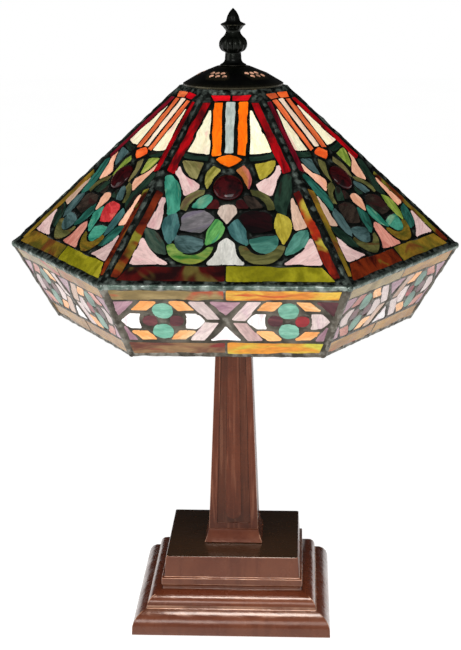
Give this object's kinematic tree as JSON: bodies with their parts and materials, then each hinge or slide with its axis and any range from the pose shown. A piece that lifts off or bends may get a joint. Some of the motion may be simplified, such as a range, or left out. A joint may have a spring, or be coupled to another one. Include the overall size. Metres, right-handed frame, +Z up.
{
  "type": "stained glass table lamp",
  "caption": "Table lamp with a six-sided leaded glass shade on a tapered square column and a stepped square base.",
  "frame": {"origin": "on the table under the lamp's axis, at the centre of the bottom of the felt pad", "axes": "+Z up along the lamp's axis, -Y towards the front panel and front face of the base, +X towards a corner of the shade and the right side of the base"},
  "size_m": [0.4074, 0.3538, 0.5575],
  "materials": {
    "green_felt": "matte",
    "zinc_plate": "satin",
    "brown_enamel": "gloss",
    "grey_iron": "matte",
    "black_rubber": "matte",
    "lamp_brass": "satin",
    "black_phenolic": "matte",
    "bulb_white": "satin",
    "bulb_cap_metal": "satin",
    "black_bronze": "satin",
    "dark_solder": "satin",
    "grey_solder": "satin",
    "rim_solder": "satin",
    "top_panes_glass": "satin",
    "ruby_bars_glass": "satin",
    "border_bars_glass": "satin",
    "rim_strips_glass": "satin",
    "orange_bars_glass": "satin",
    "centre_bars_glass": "satin",
    "cream_panes_glass": "satin",
    "crest_panes_glass": "satin",
    "shoulder_panes_glass": "satin",
    "jewels_glass": "satin",
    "jewel_leaves_glass": "satin",
    "pink_panes_glass": "satin",
    "centre_panes_glass": "satin",
    "tall_leaves_glass": "satin",
    "side_leaves_glass": "satin",
    "arching_leaves_glass": "satin",
    "petals_glass": "satin",
    "flower_leaves_glass": "satin",
    "band_strips_glass": "satin",
    "band_chevrons_glass": "satin",
    "band_arrows_glass": "satin",
    "band_oranges_glass": "satin",
    "band_roundels_glass": "satin",
    "band_rubies_glass": "satin",
    "band_mauves_glass": "satin"
  },
  "bodies": {
    "stand": {"felt_pad": "green_felt", "bottom_plate": "zinc_plate", "base_casting": "brown_enamel", "ballast_block": "grey_iron", "cord_bushing": "black_rubber", "column_foot": "brown_enamel", "column": "brown_enamel", "column_cap": "brown_enamel", "lamp_pipe": "lamp_brass", "base_washer": "zinc_plate", "pipe_nuts": "lamp_brass", "cluster_body": "lamp_brass", "arm_nipples": "lamp_brass", "socket_caps": "lamp_brass", "socket_shells": "lamp_brass", "socket_cores": "black_phenolic", "screw_shells": "lamp_brass"},
    "seat_ring": {"seat_ring": "lamp_brass"},
    "shade": {"vase_cap": "black_bronze", "crown_ring": "lamp_brass", "crown_bead": "rim_solder", "hip_ribs": "dark_solder", "rim_bead": "rim_solder", "band_ribs": "grey_solder", "mouth_bead": "grey_solder", "crown_leads": "dark_solder", "band_leads": "grey_solder", "top_panes": "top_panes_glass", "ruby_bars": "ruby_bars_glass", "border_bars": "border_bars_glass", "rim_strips": "rim_strips_glass", "orange_bars": "orange_bars_glass", "centre_bars": "centre_bars_glass", "cream_panes": "cream_panes_glass", "crest_panes": "crest_panes_glass", "shoulder_panes": "shoulder_panes_glass", "jewels": "jewels_glass", "jewel_leaves": "jewel_leaves_glass", "pink_panes": "pink_panes_glass", "centre_panes": "centre_panes_glass", "tall_leaves": "tall_leaves_glass", "side_leaves": "side_leaves_glass", "arching_leaves": "arching_leaves_glass", "petals": "petals_glass", "flower_leaves": "flower_leaves_glass", "band_strips": "band_strips_glass", "band_chevrons": "band_chevrons_glass", "band_arrows": "band_arrows_glass", "band_oranges": "band_oranges_glass", "band_roundels": "band_roundels_glass", "band_rubies": "band_rubies_glass", "band_mauves": "band_mauves_glass"},
    "finial": {"finial": "black_bronze"},
    "bulb_left": {"bulb_left": "bulb_white", "bulb_base_left": "bulb_cap_metal"},
    "bulb_right": {"bulb_right": "bulb_white", "bulb_base_right": "bulb_cap_metal"},
    "switch_knob_left": {"switch_knob_left": "black_phenolic"},
    "switch_knob_right": {"switch_knob_right": "black_phenolic"}
  },
  "joints": [
    {"name": "shade_lift", "type": "slide", "parent": "stand", "child": "seat_ring", "axis": [0, 0, 1], "range_m": [0, 0.25]},
    {"name": "shade_turn", "type": "hinge", "parent": "seat_ring", "child": "shade", "pos_m": [0, 0, 0.5], "axis": [0, 0, 1], "continuous": true},
    {"name": "finial_turn", "type": "hinge", "parent": "seat_ring", "child": "finial", "pos_m": [0, 0, 0.51], "axis": [0, 0, 1], "continuous": true},
    {"name": "bulb_left_turn", "type": "hinge", "parent": "stand", "child": "bulb_left", "pos_m": [-0.03857, 0, 0.37904], "axis": [-0.6428, 0, -0.766], "continuous": true},
    {"name": "bulb_right_turn", "type": "hinge", "parent": "stand", "child": "bulb_right", "pos_m": [0.03857, 0, 0.37904], "axis": [0.6428, 0, -0.766], "continuous": true},
    {"name": "switch_left_turn", "type": "hinge", "parent": "stand", "child": "switch_knob_left", "pos_m": [-0.03278, 0, 0.38593], "axis": [0, -1, 0], "continuous": true},
    {"name": "switch_right_turn", "type": "hinge", "parent": "stand", "child": "switch_knob_right", "pos_m": [0.03278, 0, 0.38593], "axis": [0, 1, 0], "continuous": true}
  ]
}
